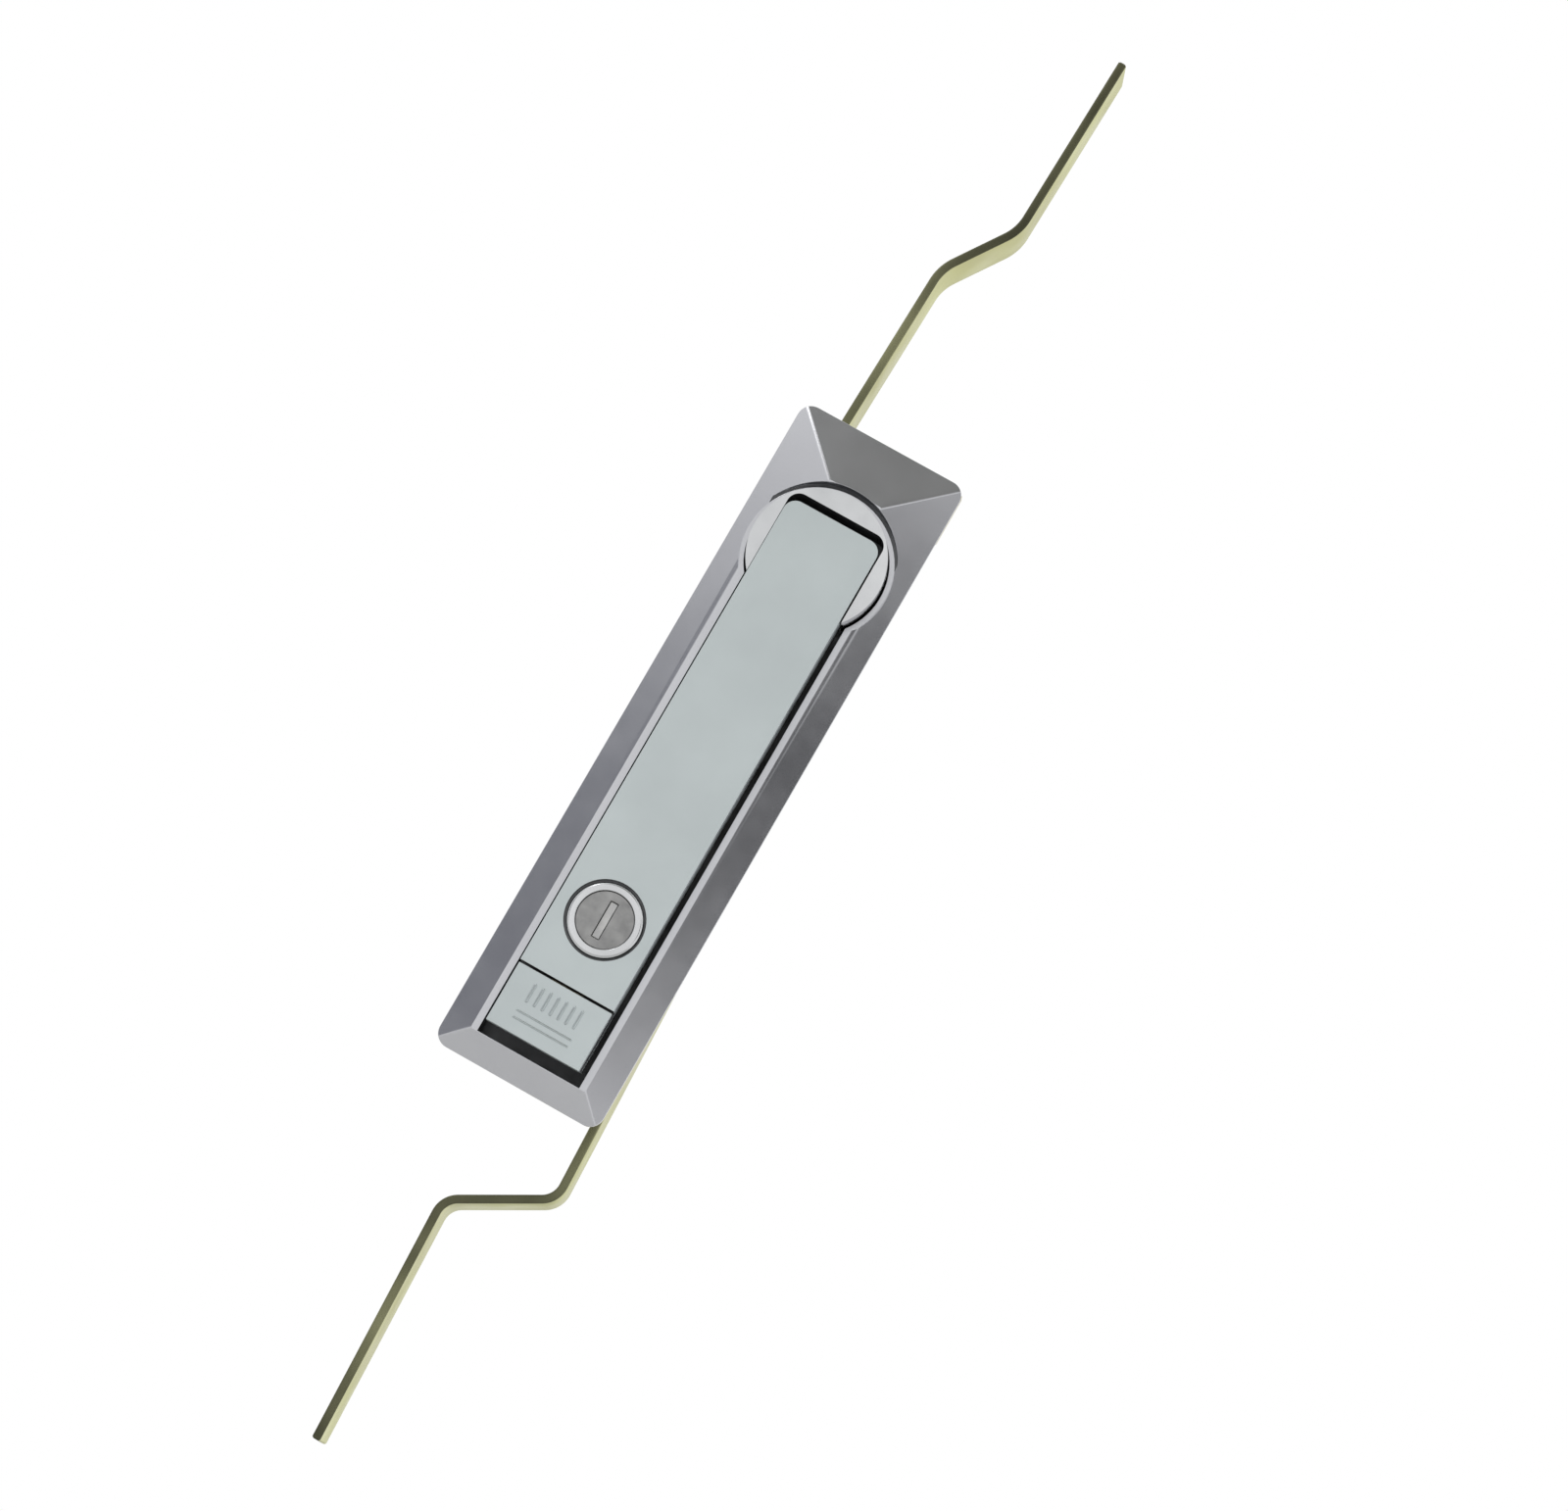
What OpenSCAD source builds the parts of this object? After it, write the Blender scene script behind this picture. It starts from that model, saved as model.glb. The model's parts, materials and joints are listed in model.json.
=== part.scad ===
// Cabinet rod lock: lift-and-turn handle on a bevelled bezel, with two flat rods on edge.
// Millimetres. Stands upright: +Z up the lock, the front faces -Y.
// The origin is on the turning axis, at the panel's front face.
// Modules are drawn in a face frame (x right, y up the lock, z out of the panel) and stood up by stand().

/* [Bezel] */
// Width of the bezel
bezel_w = 42; // [40:0.5:48]
// Top edge above the turning axis
bezel_top = 32; // [31:0.5:38]
// Bottom edge below the turning axis
bezel_bottom = 136; // [134:0.5:150]
// Radius of the bezel's outer corners
bezel_corner_r = 3.5; // [2:0.1:5]
// Height of the upright outer edge
bezel_edge_h = 1; // [0.6:0.1:1.6]
// Slope of the four bevels in degrees
bevel_angle = 17.6; // [14:0.1:19]
// Height of the rim above the panel
rim_z = 4; // [3.6:0.1:4.4]
// Gap between the handle and the rim
side_gap = 1.1; // [0.8:0.1:1.4]
// Gap between the button's lower end and the slot's end
end_gap = 2.5; // [2:0.1:4]
// Wall thickness of the tray behind the panel
tray_wall = 1.2; // [1:0.1:2]
// Depth of the tray's floor behind the panel
tray_depth = 3; // [2:0.1:5]
// Radius of the bearing neck
neck_r = 15; // [13:0.1:16]
// Length of the neck behind the panel
neck_len = 13; // [11:0.5:16]
// Thickness of the gasket
gasket_t = 1; // [0.5:0.1:2]

/* [Panel fixing] */
// Height of the upper fixing screw above the axis
upper_fix_y = 25; // [24.6:0.1:26]
// Depth of the lower fixing screw below the axis
lower_fix_y = 119; // [114:0.5:120]
// Nominal radius of the fixing thread
fix_r = 2.5; // [2:0.1:3]
// Thickness of the clamp bridge
bridge_t = 2; // [1.5:0.1:3]
// Height of the clamp bridge
bridge_h = 12; // [10:0.1:12]
// Grip left for the panel
panel_grip = 2.1; // [2.05:0.05:2.5]

/* [Turntable] */
// Radius of the turntable
table_r = 16; // [15.6:0.1:16.2]
// Gap round the turntable
table_gap = 0.4; // [0.3:0.05:0.6]
// Width of the collar round the turntable
collar_w = 1.2; // [0.9:0.1:1.4]
// Height of the cheeks above the panel
cheek_z = 10; // [9:0.1:11]
// Level of the slot floor between the cheeks
slot_z = 1.5; // [1:0.1:2]
// Radius of the spindle
spindle_r = 8; // [7.5:0.1:8.4]
// Side of the spindle's square
square_w = 10; // [9:0.1:10.4]
// Running clearance of turning fits
run_fit = 0.05; // [0.03:0.01:0.1]
// Gap between pieces that slide past one another
slide_gap = 0.3; // [0.2:0.05:0.4]

/* [Handle] */
// Width of the handle
handle_w = 23.8; // [22:0.1:25]
// Upper end of the handle above the axis
handle_up = 9; // [8:0.1:9.4]
// Seam between the handle and the button, below the axis
seam_y = 112; // [108:0.5:113]
// Lower end of the button, below the axis
button_end = 127; // [125:0.5:128]
// Height of the handle's body
handle_h = 7.3; // [7:0.1:8]
// Thickness of the handle's top wall
handle_skin = 1.8; // [1.6:0.1:2.2]
// Thickness of the handle's side walls
handle_side = 1.9; // [1.6:0.1:2.2]
// Radius of the handle's upper corners
handle_corner_r = 3; // [2:0.1:4]
// Hinge axis above the turning axis
hinge_y = 5; // [4.5:0.1:5.5]
// Radius of the hinge pin
hinge_r = 1.5; // [1.2:0.1:1.8]
// Thickness of the deck under the button
deck_t = 2.2; // [2:0.1:2.4]
// Thickness of the bottom cover
cover_t = 0.8; // [0.6:0.1:1]

/* [Button and latch] */
// Thickness of the button's plate
button_t = 2.6; // [2.2:0.1:3]
// Stroke of the button and of the latch
stroke = 1.6; // [1.2:0.1:1.8]
// Radius of the button's guide posts
post_r = 1.8; // [1.5:0.1:2.2]
// Half the width of the latch bar
latch_half = 4; // [3.5:0.1:4.2]
// Thickness of the latch bar
latch_t = 1.2; // [1:0.1:1.4]

/* [Key cylinder] */
// Key cylinder below the turning axis
cyl_y = 95; // [91:0.5:96]
// Radius of the cylinder's barrel
barrel_r = 8.6; // [8:0.1:8.8]
// Radius of the plug
plug_r = 6.6; // [6:0.1:6.8]
// Length of the keyway
keyway_len = 9; // [7:0.1:10]
// Width of the keyway
keyway_w = 1.9; // [1.5:0.1:2.4]
// Reach of the locking cam
cam_reach = 8.5; // [7:0.1:8.8]

/* [Crank and rods] */
// Sideways offset of each crank pin from the turning axis
pin_off = 9.6; // [9.4:0.1:12]
// Radius of the crank pins
pin_r = 3; // [2.5:0.1:3.2]
// Thickness of the crank
crank_t = 3.3; // [2.5:0.1:4]
// Depth of the rods' front edges behind the panel
rod_z = 18; // [17.9:0.1:22]
// Width of the rod bar, front to back
rod_w = 16; // [12:0.5:20]
// Thickness of the rod bar
rod_t = 2; // [1.6:0.1:2.4]
// Lean of the upper rod in degrees
upper_lean = 1.6; // [0:0.1:3]
// Lean of the lower rod in degrees
lower_lean = 2.2; // [0:0.1:3]
// Upper rod: start of the jog beyond its pin
upper_jog_a = 69.8; // [50:0.1:90]
// Upper rod: end of the jog
upper_jog_b = 87.1; // [80:0.1:110]
// Upper rod: offset of the outer stretch from its pin
upper_out = 6.8; // [0:0.1:12]
// Upper rod: length from its pin
upper_len = 134.5; // [115:0.5:200]
// Lower rod: start of the jog beyond its pin
lower_jog_a = 142.5; // [130:0.1:150]
// Lower rod: end of the jog
lower_jog_b = 154.2; // [152:0.1:175]
// Lower rod: offset of the outer stretch from its pin
lower_out = -18.6; // [-24:0.1:-4]
// Lower rod: length from its pin
lower_len = 214.6; // [180:0.5:260]

/* [Hidden] */
$fn = 64;
eps = 0.01;
over = 20;
cut_over = 0.1;
edge_z = gasket_t + bezel_edge_h;
bevel_len = 60;
half_w = handle_w / 2;
slot_half = half_w + side_gap;
slot_end = button_end + end_gap;
pocket_r = table_r + table_gap;
collar_r = pocket_r + collar_w;
furrow_w = 0.8;
furrow_r = collar_r + furrow_w;
furrow_z = rim_z - 0.5;
tray_back = tray_depth + tray_wall;
tray_half = slot_half + tray_wall;
tray_r = pocket_r + tray_wall + slide_gap;
roof_top = 6.5;
flat_top_y = 11;
boss_r = 4.5;
gasket_inset = 0.5;
thread_gap = 0.05;
fix_head_r = 4.25;
fix_head_h = 3.5;
upper_hole_top = 2.2;
lower_boss_top = 1.2;
lower_hole_top = 0.4;
bridge_w = bezel_w - 1;
foot_w = 4.5;
hex_r = 2;
hex_depth = 2;
bush_r = 9.5;
bush_flange_r = 12;
bush_flange_t = 0.8;
table_floor = -tray_depth + bush_flange_t + 0.1;
handle_z = rim_z + slide_gap;
handle_top = handle_z + handle_h;
hinge_rise = 2.2;
hinge_z = handle_z + hinge_rise;
back_gap = 2.2;
back_wall_y = handle_up + back_gap;
hinge_pin_sunk = 1.4;
hinge_pin_len = 2 * (table_r - hinge_pin_sunk);
slot_r = 3;
catch_half = 3.5;
catch_tip = -7;
catch_foot = -3;
catch_post = -4.5;
catch_top = handle_z - 0.4;
catch_lip_t = 0.7;
cavity_half = half_w - handle_side;
cavity_top = handle_top - handle_skin;
cavity_a = -16;
cavity_b = -(seam_y - 2);
deck_z = handle_z + deck_t;
deck_end = button_end - 0.4;
seam_gap = 0.3;
button_z = handle_top - button_t;
button_half = half_w - 0.1;
post_x = 7.5;
post_y = -119;
post_end = handle_z + stroke + 0.1;
latch_z = handle_z + cover_t + 0.2;
latch_top = latch_z + latch_t;
latch_end = -121;
latch_room = 0.15;
latch_over = 0.2;
nose_room = 1.3;
nose_y = catch_tip - slide_gap;
nose_len = 1.8;
nose_z = slot_z + 0.5;
window_half = 3.2;
wedge_half = 2.9;
wedge_tip_z = latch_top + 0.4;
wedge_y = -116.7;
wedge_back = -114.2;
window_back = -112;
ramp_gap = 0.2;
cover_screw_x = 7.2;
cover_screw_ys = [-24, -106];
cover_boss_r = 2.6;
small_hole_r = 1;
small_head_r = 2;
barrel_sunk = 3.6;
barrel_z = handle_top - barrel_sunk;
barrel_top = handle_top + 0.3;
plug_top = handle_top - 0.1;
barrel_chamfer = 0.5;
groove_r = 9.2;
groove_depth = 0.7;
clip_t = 0.8;
clip_w = 1.2;
clip_r = barrel_r + clip_w;
clip_room = 0.15;
keyway_floor = plug_top - 2.2;
shutter_top = plug_top - 0.5;
tail_w = 4;
tail_end = barrel_z - 1.4;
cam_t = 1.1;
cam_z = barrel_z - 0.1 - cam_t;
cam_hub_r = 4.5;
cam_w = 4;
stud_r = 1.5;
stud_shank_r = 1;
stud_room = 0.8;
stud_y = -(cyl_y - cam_reach) + stroke + stud_room + stud_r;
stud_top = cam_z + cam_t;
washer_t = 0.65;
crank_front = -(neck_len + 0.9);
crank_back = crank_front - crank_t;
square_end = crank_back + 0.2;
spindle_end = -(neck_len + 0.2);
spindle_hole_top = -5;
hub_r = 9;
arm_w = 10;
boss_eye_r = 5.6;
pin_reach = pin_off * sqrt(2);
pin_end = -(rod_z + rod_w + 1.6);
clip_ring_t = 0.9;
clip_ring_r = 5.2;
end_washer_t = 1;
end_washer_r = 7;
crank_head_r = 4;
crank_head_h = 3.5;
crank_screw_len = 9;
eye_in = pin_r + run_fit;
eye_out = eye_in + rod_t;
bar_off = eye_in + rod_t / 2;

module stand() rotate([90, 0, 0]) children();

// Draw a 2-D shape from height a to height b.
module slab(a, b) translate([0, 0, a]) linear_extrude(b - a) children();

module rounded(w, top, bottom, r) {
  translate([-w / 2 + r, -bottom]) square([w - 2 * r, top + bottom]);
  translate([-w / 2, -bottom + r]) square([w, top + bottom - 2 * r]);
  for (x = [-w / 2 + r, w / 2 - r], y = [-bottom + r, top - r]) translate([x, y]) circle(r);
}

// The slot and the circle as one outline.
module keyhole(half, end, r) {
  translate([-half, -end]) square([2 * half, end]);
  circle(r);
}

// Everything above one bevel plane, whose low edge lies along +x at the origin.
module bevel_cut(len) {
  rotate([bevel_angle, 0, 0]) translate([-len / 2, -over, 0]) cube([len, bevel_len + over, over]);
}

module bevels() {
  long = 2 * (bezel_top + bezel_bottom);
  mid = (bezel_top - bezel_bottom) / 2;
  translate([0, -bezel_bottom, edge_z]) bevel_cut(long);
  translate([0, bezel_top, edge_z]) rotate([0, 0, 180]) bevel_cut(long);
  translate([bezel_w / 2, mid, edge_z]) rotate([0, 0, 90]) bevel_cut(long);
  translate([-bezel_w / 2, mid, edge_z]) rotate([0, 0, -90]) bevel_cut(long);
}

module gasket() color("#202224") stand() slab(0, gasket_t) difference() {
  rounded(bezel_w - 2 * gasket_inset, bezel_top - gasket_inset, bezel_bottom - gasket_inset, bezel_corner_r);
  keyhole(tray_half + slide_gap, slot_end + tray_wall + slide_gap, tray_r + slide_gap);
  translate([0, upper_fix_y]) circle(boss_r + slide_gap);
}

module bezel() color("#b9babc") stand() difference() {
  union() {
    difference() {
      union() {
        difference() {
          slab(gasket_t, roof_top) rounded(bezel_w, bezel_top, bezel_bottom, bezel_corner_r);
          bevels();
          translate([-bezel_w, -bezel_bottom - 1, rim_z])
            cube([2 * bezel_w, bezel_bottom + 1 + flat_top_y, over]);
          // A furrow round the collar, where the top facet comes down to it.
          slab(furrow_z, over) intersection() {
            circle(furrow_r);
            translate([-bezel_w, 0]) square([2 * bezel_w, bezel_w]);
          }
        }
        slab(gasket_t, rim_z) circle(collar_r);
      }
      slab(-tray_depth, over) keyhole(slot_half, slot_end, pocket_r);
    }
    difference() {
      slab(-tray_back, gasket_t + eps) keyhole(tray_half, slot_end + tray_wall, tray_r);
      slab(-tray_depth, over) keyhole(slot_half, slot_end, pocket_r);
    }
    slab(-tray_back, gasket_t + eps) translate([0, upper_fix_y]) circle(boss_r);
    slab(-tray_back, lower_boss_top) translate([0, -lower_fix_y]) circle(boss_r);
    slab(-neck_len, -tray_depth) circle(neck_r);
  }
  slab(-over, over) circle(bush_r);
  slab(-over, upper_hole_top) translate([0, upper_fix_y]) circle(fix_r);
  slab(-over, lower_hole_top) translate([0, -lower_fix_y]) circle(fix_r);
}

module clamp_bridge() {
  difference() {
    union() {
      translate([-bridge_w / 2, -bridge_h / 2, -tray_back - bridge_t]) cube([bridge_w, bridge_h, bridge_t]);
      for (x = [-bridge_w / 2, bridge_w / 2 - foot_w])
        translate([x, -bridge_h / 2, -tray_back - eps])
          cube([foot_w, bridge_h, tray_back - panel_grip + eps]);
    }
    slab(-over, over) circle(fix_r + slide_gap);
  }
}

module clamp_bridges() color("#c9b458") stand()
  for (y = [upper_fix_y, -lower_fix_y]) translate([0, y, 0]) clamp_bridge();

module clamp_screw(top) {
  seat = -tray_back - bridge_t;
  difference() {
    union() {
      slab(seat - fix_head_h, seat) circle(fix_head_r);
      slab(seat - eps, top) circle(fix_r - thread_gap);
    }
    translate([0, 0, seat - fix_head_h - eps]) cylinder(h = hex_depth, r = hex_r, $fn = 6);
  }
}

module clamp_screws() color("#8d8f92") stand() {
  translate([0, upper_fix_y, 0]) clamp_screw(upper_hole_top - slide_gap);
  translate([0, -lower_fix_y, 0]) clamp_screw(lower_hole_top - slide_gap);
}

module spindle_bush() color("#b08d4a") stand() difference() {
  union() {
    slab(-neck_len, -tray_depth) circle(bush_r - 0.02);
    slab(-tray_depth, -tray_depth + bush_flange_t) circle(bush_flange_r);
  }
  slab(-over, over) circle(spindle_r + run_fit);
}

module table_slot() {
  half = half_w + slide_gap;
  translate([-half, -over]) square([2 * half, over + back_wall_y - slot_r]);
  translate([-half + slot_r, 0]) square([2 * half - 2 * slot_r, back_wall_y]);
  for (x = [-half + slot_r, half - slot_r]) translate([x, back_wall_y - slot_r]) circle(slot_r);
}

module turntable() color("#c6c8ca") stand() difference() {
  union() {
    difference() {
      slab(table_floor, cheek_z) circle(table_r);
      slab(slot_z, over) table_slot();
    }
    slab(spindle_end, table_floor + eps) circle(spindle_r);
    slab(square_end, spindle_end + eps) square(square_w, center = true);
    translate([-catch_half, catch_post, slot_z - eps])
      cube([2 * catch_half, catch_foot - catch_post, catch_top - slot_z + eps]);
    translate([-catch_half, catch_tip, catch_top - catch_lip_t])
      cube([2 * catch_half, catch_foot - catch_tip, catch_lip_t]);
  }
  translate([-over, hinge_y, hinge_z]) rotate([0, 90, 0]) cylinder(h = 2 * over, r = hinge_r + run_fit);
  slab(-over, spindle_hole_top) circle(fix_r);
}

module hinge_pin() color("#8d8f92") stand()
  translate([-hinge_pin_len / 2, hinge_y, hinge_z]) rotate([0, 90, 0])
    cylinder(h = hinge_pin_len, r = hinge_r);

module handle_outline() {
  r = handle_corner_r;
  translate([-half_w, -seam_y + seam_gap]) square([handle_w, seam_y - seam_gap + handle_up - r]);
  translate([-half_w + r, 0]) square([handle_w - 2 * r, handle_up]);
  for (x = [-half_w + r, half_w - r]) translate([x, handle_up - r]) circle(r);
}

module cover_spots()
  for (x = [-cover_screw_x, cover_screw_x], y = cover_screw_ys) translate([x, y]) children();

module handle() color("#c4c7c9") stand() difference() {
  union() {
    difference() {
      slab(handle_z, handle_top) handle_outline();
      translate([-cavity_half, cavity_b, handle_z - 1])
        cube([2 * cavity_half, cavity_a - cavity_b, cavity_top - handle_z + 1]);
      // The clip goes in from below: in a narrow handle its way up is cut into the side walls.
      translate([0, -cyl_y, handle_z - 1])
        cylinder(h = cavity_top - handle_z + 1, r = clip_r + clip_room);
    }
    translate([-half_w, -deck_end, handle_z]) cube([handle_w, deck_end - seam_y + 1, deck_t]);
    slab(handle_z + cover_t, cavity_top + eps) cover_spots() circle(cover_boss_r);
  }
  translate([-over, hinge_y, hinge_z]) rotate([0, 90, 0]) cylinder(h = 2 * over, r = hinge_r + run_fit);
  translate([0, -cyl_y, cavity_top - 1]) cylinder(h = over, r = barrel_r + run_fit);
  translate([0, -cyl_y, handle_top - groove_depth]) cylinder(h = over, r = groove_r);
  // The latch bar's channel: through the lower wall and the deck, and out to the turntable.
  translate([-latch_half - latch_room, latch_end - stroke - 0.4, latch_z - 0.1])
    cube([2 * (latch_half + latch_room), -latch_end + stroke + cavity_b + 1.4, latch_t + 0.3]);
  translate([-latch_half - latch_room, cavity_a - 1, handle_z - 1])
    cube([
      2 * (latch_half + latch_room), -cavity_a + 1 + nose_y + nose_room,
      latch_top + latch_over - handle_z + 1
    ]);
  for (x = [-post_x, post_x]) translate([x, post_y, 0]) cylinder(h = deck_z + 1, r = post_r + run_fit);
  slab(0, cavity_top - 0.6) cover_spots() circle(small_hole_r);
}

module handle_cover() color("#9b9ea1") stand() difference() {
  translate([-cavity_half + 0.1, cavity_b + 0.2, handle_z])
    cube([2 * cavity_half - 0.2, cavity_a - cavity_b - 0.4, cover_t]);
  slab(0, over) cover_spots() circle(small_hole_r + 0.2);
  slab(0, handle_z + cover_t / 2) cover_spots() circle(small_head_r + 0.1);
}

module cover_screws() color("#8d8f92") stand() {
  slab(handle_z + 0.05, handle_z + cover_t / 2) cover_spots() circle(small_head_r);
  slab(handle_z + cover_t / 2 - eps, cavity_top - 0.8) cover_spots() circle(small_hole_r - thread_gap);
}

module cylinder_barrel() color("#d8dadc") stand() translate([0, -cyl_y, 0]) difference() {
  union() {
    slab(barrel_z, barrel_top - barrel_chamfer) circle(barrel_r);
    translate([0, 0, barrel_top - barrel_chamfer])
      cylinder(h = barrel_chamfer, r1 = barrel_r, r2 = barrel_r - barrel_chamfer);
  }
  slab(0, over) circle(plug_r + run_fit);
}

module barrel_clip() color("#8d8f92") stand() translate([0, -cyl_y, 0]) slab(cavity_top - clip_t, cavity_top)
  difference() {
    circle(clip_r);
    circle(barrel_r + 0.02);
  }

module cylinder_plug() color("#8a8c8e") stand() translate([0, -cyl_y, 0]) difference() {
  union() {
    slab(barrel_z, plug_top) circle(plug_r);
    slab(tail_end, barrel_z + eps) square(tail_w, center = true);
  }
  slab(keyway_floor, over) square([keyway_w, keyway_len], center = true);
}

module dust_shutter() color("#b4b6b8") stand() translate([0, -cyl_y, 0])
  slab(keyway_floor, shutter_top) square([keyway_w - 0.1, keyway_len - 0.1], center = true);

module lock_cam() color("#c9b458") stand() translate([0, -cyl_y, 0]) slab(cam_z, cam_z + cam_t)
  difference() {
    union() {
      circle(cam_hub_r);
      translate([-cam_reach + cam_w / 2, -cam_w / 2]) square([cam_reach - cam_w / 2, cam_w]);
      translate([-cam_reach + cam_w / 2, 0]) circle(cam_w / 2);
    }
    square(tail_w + 0.04, center = true);
  }

module push_button() color("#c4c7c9") stand() {
  translate([-button_half, -button_end, button_z])
    cube([2 * button_half, button_end - seam_y - seam_gap, button_t]);
  for (x = [-post_x, post_x]) translate([x, post_y, post_end])
    cylinder(h = button_z - post_end + eps, r = post_r);
  run = button_z + eps - wedge_tip_z;
  translate([-wedge_half, 0, 0]) rotate([90, 0, 90]) linear_extrude(2 * wedge_half) polygon([
    [wedge_back, button_z + eps], [wedge_y - run, button_z + eps],
    [wedge_y, wedge_tip_z], [wedge_back, wedge_tip_z]
  ]);
}

module latch_bar() color("#c9b458") stand() difference() {
  union() {
    translate([-latch_half, latch_end, latch_z]) cube([2 * latch_half, nose_y - latch_end, latch_t]);
    translate([-latch_half, nose_y - nose_len, nose_z])
      cube([2 * latch_half, nose_len, latch_z - nose_z + eps]);
  }
  translate([0, stud_y]) slab(-over, over) circle(stud_shank_r + 0.01);
  foot = wedge_y - ramp_gap + wedge_tip_z;
  translate([-window_half, 0, 0]) rotate([90, 0, 90]) linear_extrude(2 * window_half) polygon([
    [window_back, latch_z - cut_over], [foot - latch_z + cut_over, latch_z - cut_over],
    [foot - latch_top - cut_over, latch_top + cut_over], [window_back, latch_top + cut_over]
  ]);
}

// The stud that the cam stands against, riveted through the latch bar.
module latch_stud() color("#8d8f92") stand() translate([0, stud_y]) {
  slab(latch_z, latch_top + eps) circle(stud_shank_r);
  slab(latch_top, stud_top) circle(stud_r);
}

module thrust_washer() color("#8d8f92") stand() slab(-neck_len - washer_t, -neck_len) difference() {
  circle(neck_r - 1.5);
  circle(spindle_r + slide_gap);
}

module pin_spots() for (s = [-1, 1]) translate([s * pin_off, -s * pin_off]) children();

module crank() color("#c9b458") stand() slab(crank_back, crank_front) difference() {
  union() {
    rotate(-45) square([2 * pin_reach, arm_w], center = true);
    pin_spots() circle(boss_eye_r);
    circle(hub_r);
  }
  square(square_w + 0.04, center = true);
  pin_spots() circle(pin_r + 0.01);
}

module crank_pins() color("#8d8f92") stand() slab(pin_end, crank_front) pin_spots() circle(pin_r);

module crank_washer() color("#8d8f92") stand() slab(crank_back - end_washer_t, crank_back) difference() {
  circle(end_washer_r);
  circle(fix_r + 0.2);
}

module crank_screw() color("#6f7174") stand() difference() {
  seat = crank_back - end_washer_t;
  union() {
    slab(seat - crank_head_h, seat) circle(crank_head_r);
    slab(seat - eps, seat + crank_screw_len) circle(fix_r - thread_gap);
  }
  translate([0, 0, seat - crank_head_h - eps]) cylinder(h = hex_depth, r = hex_r, $fn = 6);
}

// A straight stretch of bar from a to b, with round ends.
module stretch(a, b) {
  d = b - a;
  translate(a) rotate(atan2(d[1], d[0])) translate([0, -rod_t / 2]) square([norm(d), rod_t]);
  for (p = [a, b]) translate(p) circle(rod_t / 2);
}

// A rod with a rolled eye at the origin: the bar leaves the eye's side upward, jogs and runs on.
module rod_shape(start, jog_a, jog_b, out, len) {
  difference() {
    union() {
      circle(eye_out);
      stretch([start, 0], [start, jog_a]);
      stretch([start, jog_a], [out, jog_b]);
      stretch([out, jog_b], [out, len - rod_t / 2]);
    }
    circle(eye_in);
  }
}

module upper_rod() color("#a9a884") stand() slab(-rod_z - rod_w, -rod_z)
  translate([-pin_off, pin_off]) rotate(-upper_lean)
    rod_shape(-bar_off, upper_jog_a, upper_jog_b, upper_out, upper_len);

module lower_rod() color("#a9a884") stand() slab(-rod_z - rod_w, -rod_z)
  translate([pin_off, -pin_off]) rotate(180 + lower_lean)
    rod_shape(-bar_off, lower_jog_a, lower_jog_b, -lower_out, lower_len);

module pin_clips() color("#6f7174") stand()
  slab(-rod_z - rod_w - 0.2 - clip_ring_t, -rod_z - rod_w - 0.2) pin_spots() difference() {
    circle(clip_ring_r);
    circle(pin_r + 0.01);
  }

gasket();
bezel();
clamp_bridges();
clamp_screws();
spindle_bush();
turntable();
hinge_pin();
handle();
handle_cover();
cover_screws();
cylinder_barrel();
barrel_clip();
cylinder_plug();
dust_shutter();
lock_cam();
push_button();
latch_bar();
latch_stud();
thrust_washer();
crank();
crank_pins();
crank_washer();
crank_screw();
upper_rod();
lower_rod();
pin_clips();
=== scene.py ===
"""Looks of the cabinet rod lock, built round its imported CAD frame.

Vertices are metres in the row frame: +X right, +Z up the lock, the front faces -Y.
Sizes are typed in millimetres in the face frame: x right, y up the lock, z out of the panel.
"""

import json
import logging
import math
from collections.abc import Callable
from dataclasses import dataclass, field
from enum import Enum

import bmesh
import bpy
import numpy as np
from mathutils import Matrix, Vector


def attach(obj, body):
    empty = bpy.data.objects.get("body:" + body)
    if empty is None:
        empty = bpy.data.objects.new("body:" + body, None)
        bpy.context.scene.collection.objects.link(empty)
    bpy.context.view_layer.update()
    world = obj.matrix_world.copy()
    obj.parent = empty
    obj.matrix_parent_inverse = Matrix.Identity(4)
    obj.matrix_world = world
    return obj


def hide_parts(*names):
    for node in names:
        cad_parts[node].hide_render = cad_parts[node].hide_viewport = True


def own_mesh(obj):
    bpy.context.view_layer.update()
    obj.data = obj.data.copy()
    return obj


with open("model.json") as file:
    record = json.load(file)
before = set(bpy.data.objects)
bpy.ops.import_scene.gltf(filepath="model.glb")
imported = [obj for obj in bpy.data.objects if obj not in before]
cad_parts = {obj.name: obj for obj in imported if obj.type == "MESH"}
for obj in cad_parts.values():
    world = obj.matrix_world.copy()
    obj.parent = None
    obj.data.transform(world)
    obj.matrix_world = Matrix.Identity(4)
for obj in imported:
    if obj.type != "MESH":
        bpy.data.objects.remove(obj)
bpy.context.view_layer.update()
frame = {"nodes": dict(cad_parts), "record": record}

LOG = logging.getLogger("rod_lock")
MM = 0.001
# Corners of the frame's loose triangles that lie closer than this are one, in metres.
MERGE = 2e-6
# Angles in degrees: faces that turn by less are one, edges that turn by more are broken, and new
# pieces are shaded smooth where they turn by less.
FLAT_ANGLE = 1.0
EDGE_ANGLE = 30.0
SMOOTH_ANGLE = 38.0
# Slack of the tests that pick faces by their place, in millimetres.
SLACK = 0.06
# Least part of a face's normal along a direction for the face to count as facing that way.
FACING = 0.9
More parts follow.
